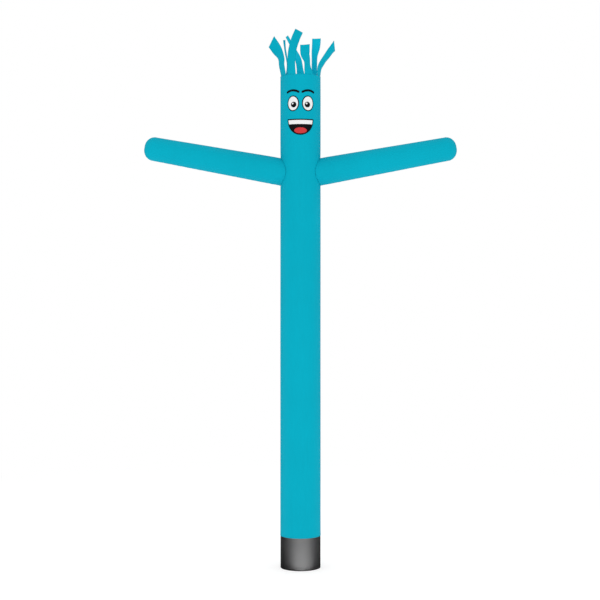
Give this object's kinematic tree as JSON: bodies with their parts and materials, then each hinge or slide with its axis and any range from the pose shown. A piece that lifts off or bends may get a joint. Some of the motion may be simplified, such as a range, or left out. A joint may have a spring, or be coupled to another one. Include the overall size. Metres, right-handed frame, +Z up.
{
  "type": "inflatable air dancer",
  "caption": "Upright air-filled cloth tube with tapered side arms, hair strips round its closed top, a sewn patch face and a black foot cuff that slips over a blower outlet.",
  "frame": {"origin": "middle of the foot cuff's bottom edge, on the surface that the cuff stands on", "axes": "+Z up along the body tube, +X along the arms towards the viewer's right, -Y the way the face looks"},
  "size_m": [3.5498, 0.7601, 6.1275],
  "materials": {
    "teal_ripstop": "teal coated ripstop nylon, fine square weave, soft sheen",
    "black_coated_cloth": "black coated polyester, satin",
    "black_patch_cloth": "black woven patch cloth, matt",
    "white_patch_cloth": "white woven patch cloth, matt",
    "red_patch_cloth": "red woven patch cloth, matt"
  },
  "bodies": {
    "root": {"body_tube": "teal_ripstop", "crown_panel": "teal_ripstop", "arm_left": "teal_ripstop", "arm_right": "teal_ripstop", "base_cuff": "black_coated_cloth", "hair_strip_1": "teal_ripstop", "hair_strip_2": "teal_ripstop", "hair_strip_3": "teal_ripstop", "hair_strip_4": "teal_ripstop", "hair_strip_5": "teal_ripstop", "hair_strip_6": "teal_ripstop", "hair_strip_7": "teal_ripstop", "brow_left": "black_patch_cloth", "brow_right": "black_patch_cloth", "eye_rim_left": "black_patch_cloth", "eye_rim_right": "black_patch_cloth", "eye_white_left": "white_patch_cloth", "eye_white_right": "white_patch_cloth", "pupil_left": "black_patch_cloth", "pupil_right": "black_patch_cloth", "glint_left": "white_patch_cloth", "glint_right": "white_patch_cloth", "mouth": "black_patch_cloth", "teeth": "white_patch_cloth", "tongue": "red_patch_cloth"}
  },
  "joints": []
}
